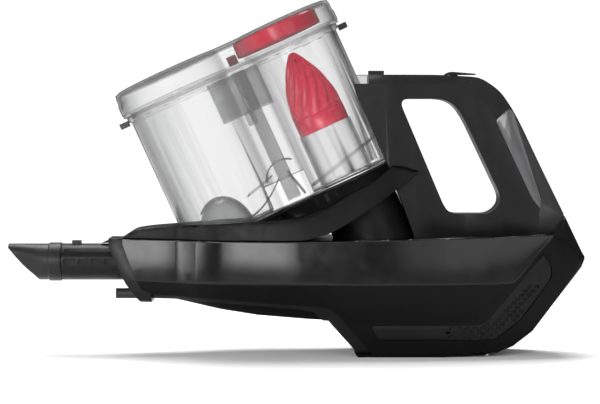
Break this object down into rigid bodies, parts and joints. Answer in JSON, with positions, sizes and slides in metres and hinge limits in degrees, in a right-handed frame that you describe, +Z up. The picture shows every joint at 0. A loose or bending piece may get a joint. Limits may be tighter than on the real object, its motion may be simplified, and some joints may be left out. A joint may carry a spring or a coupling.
{
  "type": "handheld vacuum",
  "caption": "Cordless handheld vacuum with a loop handle, a clear two-lobe dust bin holding a crimson filter cone, and a crevice tool.",
  "frame": {"origin": "centre of the whole object in plan, on the surface that its foot stands on", "axes": "+X towards the handle, -X towards the crevice tool, +Z up, Y across the width"},
  "size_m": [0.4664, 0.118, 0.2887],
  "materials": {
    "housing": "glossy black moulding",
    "collar": "satin black",
    "deck": "satin black",
    "belly": "matte black",
    "trim": "satin charcoal",
    "grille": "satin black",
    "handle": "satin black",
    "plate": "glossy charcoal",
    "smoke_clear": "clear",
    "control": "satin black",
    "spring_steel": "bright steel",
    "board": "green board",
    "motor_steel": "plain steel",
    "rotor": "machined",
    "rubber_black": "matte",
    "holder": "matte",
    "cell": "sleeved cell",
    "foam": "open foam",
    "duct": "matte",
    "contact": "plain",
    "tool": "satin dark grey",
    "tool_tube": "satin dark grey",
    "clear": "clear moulding",
    "crimson": "satin crimson",
    "red_clear": "tinted clear",
    "dark_red": "glossy"
  },
  "bodies": {
    "vacuum": {"housing_left": "housing", "housing_right": "housing", "nose_collar": "collar", "top_deck": "deck", "belly_pan": "belly", "trim_strip": "trim", "foot_cover": "belly", "vent_grille_left": "grille", "vent_grille_right": "grille", "handle_left": "handle", "handle_right": "handle", "handle_top_cover": "handle", "grip_plate_left": "plate", "grip_plate_right": "plate", "latch_window": "smoke_clear", "release_spring": "spring_steel", "switch_board": "board", "motor_pod": "deck", "motor_can": "motor_steel", "motor_bearings": "spring_steel", "motor_mount": "rubber_black", "battery_holder": "holder", "battery_cells": "cell", "control_board": "board", "charging_socket": "holder", "exhaust_filter": "foam", "suction_duct": "duct", "duct_seal": "rubber_black", "tool_connector": "holder", "contact_pins": "contact", "case_screws": "spring_steel", "latch_spring": "spring_steel"},
    "tool": {"crevice_nozzle": "tool", "crevice_tube": "tool_tube"},
    "catch": {"tube_catch": "control"},
    "latch": {"nozzle_latch": "control"},
    "bin": {"bin_shell": "clear", "bin_gasket": "rubber_black", "bin_tabs": "control", "inlet_dome": "smoke_clear", "inlet_flap": "duct", "bin_ramp": "clear", "separator_floor": "clear", "clear_tube": "clear", "transfer_duct": "clear"},
    "cone": {"cone_filter": "crimson"},
    "lid": {"bin_lid": "clear", "lid_insert": "red_clear", "lid_corner_block": "dark_red", "lid_gasket": "rubber_black"},
    "release": {"bin_release_button": "control"},
    "switch": {"power_switch": "control"},
    "rotor": {"motor_rotor": "rotor"}
  },
  "joints": [
    {"name": "tool_slide", "type": "slide", "parent": "vacuum", "child": "tool", "axis": [-1, 0, 0], "range_m": [0, 0.045]},
    {"name": "catch_press", "type": "slide", "parent": "tool", "child": "catch", "axis": [0, 0, -1], "range_m": [0, 0.0012], "stiffness_N_per_m": 200, "springref_m": -0.002},
    {"name": "latch_tilt", "type": "hinge", "parent": "vacuum", "child": "latch", "pos_m": [-0.1455, 0, 0.0914], "axis": [0, 1, 0], "range_deg": [0, 12], "stiffness_Nm_per_rad": 0.02, "springref_deg": -8.59},
    {"name": "bin_lift", "type": "slide", "parent": "vacuum", "child": "bin", "axis": [-0.4147, 0, 0.91], "range_m": [0, 0.12]},
    {"name": "lid_lift", "type": "slide", "parent": "bin", "child": "lid", "axis": [-0.4147, 0, 0.91], "range_m": [0, 0.04]},
    {"name": "cone_twist", "type": "hinge", "parent": "bin", "child": "cone", "pos_m": [0.01755, 0, 0.19824], "axis": [-0.4147, 0, 0.91], "range_deg": [0, 30]},
    {"name": "bin_release", "type": "slide", "parent": "vacuum", "child": "release", "axis": [0, 0, -1], "range_m": [0, 0.003], "stiffness_N_per_m": 400, "springref_m": -0.003, "deforming": ["release_spring"]},
    {"name": "power_slide", "type": "slide", "parent": "vacuum", "child": "switch", "axis": [-1, 0, 0], "range_m": [0, 0.008]},
    {"name": "rotor_spin", "type": "hinge", "parent": "vacuum", "child": "rotor", "pos_m": [0.064, 0, 0.09632], "axis": [-0.4147, 0, 0.91], "continuous": true}
  ]
}
